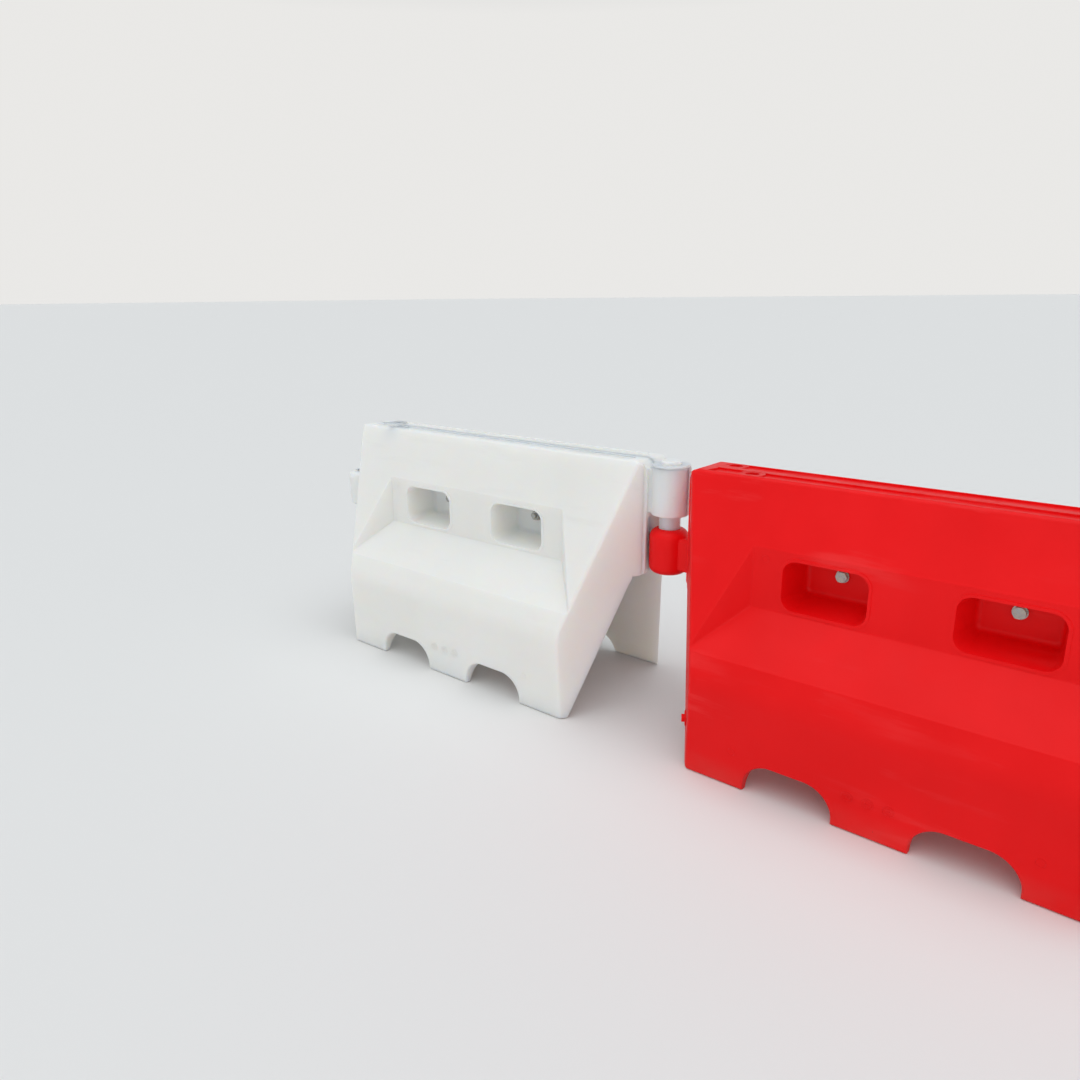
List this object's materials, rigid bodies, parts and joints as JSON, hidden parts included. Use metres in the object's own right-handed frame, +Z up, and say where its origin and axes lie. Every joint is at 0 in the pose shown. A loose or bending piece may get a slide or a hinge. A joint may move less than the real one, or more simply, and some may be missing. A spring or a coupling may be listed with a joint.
{
  "type": "water filled barrier",
  "caption": "Linked pair of water filled road barriers, A-shaped two-tank bodies with a stepped recess, foot arches and pinned swivel link.",
  "frame": {"origin": "on the ground, on the axis of the pin that links the two barriers", "axes": "+X along the run from the white barrier to the red one, -Y is the front, +Z is up"},
  "size_m": [2.081, 0.3984, 0.55],
  "materials": {
    "white_polyethylene": "moulded, satin",
    "red_polyethylene": "moulded, satin",
    "zinc_plated_steel": "zinc plated",
    "seal_rubber": "matt"
  },
  "bodies": {
    "white_barrier": {"white_front_tank": "white_polyethylene", "white_rear_tank": "white_polyethylene", "white_tie_bolts": "zinc_plated_steel", "white_tie_nuts": "zinc_plated_steel", "white_washers": "zinc_plated_steel"},
    "white_link_pin": {"white_link_pin": "white_polyethylene"},
    "white_front_filler": {"white_front_filler_cap": "white_polyethylene", "white_front_filler_seal": "seal_rubber"},
    "white_front_drain": {"white_front_drain_plug": "white_polyethylene", "white_front_drain_seal": "seal_rubber"},
    "white_rear_filler": {"white_rear_filler_cap": "white_polyethylene", "white_rear_filler_seal": "seal_rubber"},
    "white_rear_drain": {"white_rear_drain_plug": "white_polyethylene", "white_rear_drain_seal": "seal_rubber"},
    "red_barrier": {"red_front_tank": "red_polyethylene", "red_rear_tank": "red_polyethylene", "red_tie_bolts": "zinc_plated_steel", "red_tie_nuts": "zinc_plated_steel", "red_washers": "zinc_plated_steel"},
    "red_link_pin": {"red_link_pin": "red_polyethylene"},
    "red_front_filler": {"red_front_filler_cap": "red_polyethylene", "red_front_filler_seal": "seal_rubber"},
    "red_front_drain": {"red_front_drain_plug": "red_polyethylene", "red_front_drain_seal": "seal_rubber"},
    "red_rear_filler": {"red_rear_filler_cap": "red_polyethylene", "red_rear_filler_seal": "seal_rubber"},
    "red_rear_drain": {"red_rear_drain_plug": "red_polyethylene", "red_rear_drain_seal": "seal_rubber"}
  },
  "joints": [
    {"name": "link_swing", "type": "hinge", "parent": "white_barrier", "child": "red_barrier", "pos_m": [0, 0, 0.36], "axis": [0, 0, 1], "range_deg": [-60, 60]},
    {"name": "white_link_pin_lift", "type": "slide", "parent": "white_barrier", "child": "white_link_pin", "axis": [0, 0, 1], "range_m": [0, 0.22]},
    {"name": "white_front_filler_lift", "type": "slide", "parent": "white_barrier", "child": "white_front_filler", "axis": [0, 0, 1], "range_m": [0, 0.03]},
    {"name": "white_front_drain_pull", "type": "slide", "parent": "white_barrier", "child": "white_front_drain", "axis": [-0.8361, -0.5486, 0], "range_m": [0, 0.025]},
    {"name": "white_rear_filler_lift", "type": "slide", "parent": "white_barrier", "child": "white_rear_filler", "axis": [0, 0, 1], "range_m": [0, 0.03]},
    {"name": "white_rear_drain_pull", "type": "slide", "parent": "white_barrier", "child": "white_rear_drain", "axis": [-0.8361, 0.5486, 0], "range_m": [0, 0.025]},
    {"name": "red_link_pin_lift", "type": "slide", "parent": "red_barrier", "child": "red_link_pin", "axis": [0, 0, 1], "range_m": [0, 0.22]},
    {"name": "red_front_filler_lift", "type": "slide", "parent": "red_barrier", "child": "red_front_filler", "axis": [0, 0, 1], "range_m": [0, 0.03]},
    {"name": "red_front_drain_pull", "type": "slide", "parent": "red_barrier", "child": "red_front_drain", "axis": [-0.8361, -0.5486, 0], "range_m": [0, 0.025]},
    {"name": "red_rear_filler_lift", "type": "slide", "parent": "red_barrier", "child": "red_rear_filler", "axis": [0, 0, 1], "range_m": [0, 0.03]},
    {"name": "red_rear_drain_pull", "type": "slide", "parent": "red_barrier", "child": "red_rear_drain", "axis": [-0.8361, 0.5486, 0], "range_m": [0, 0.025]}
  ]
}
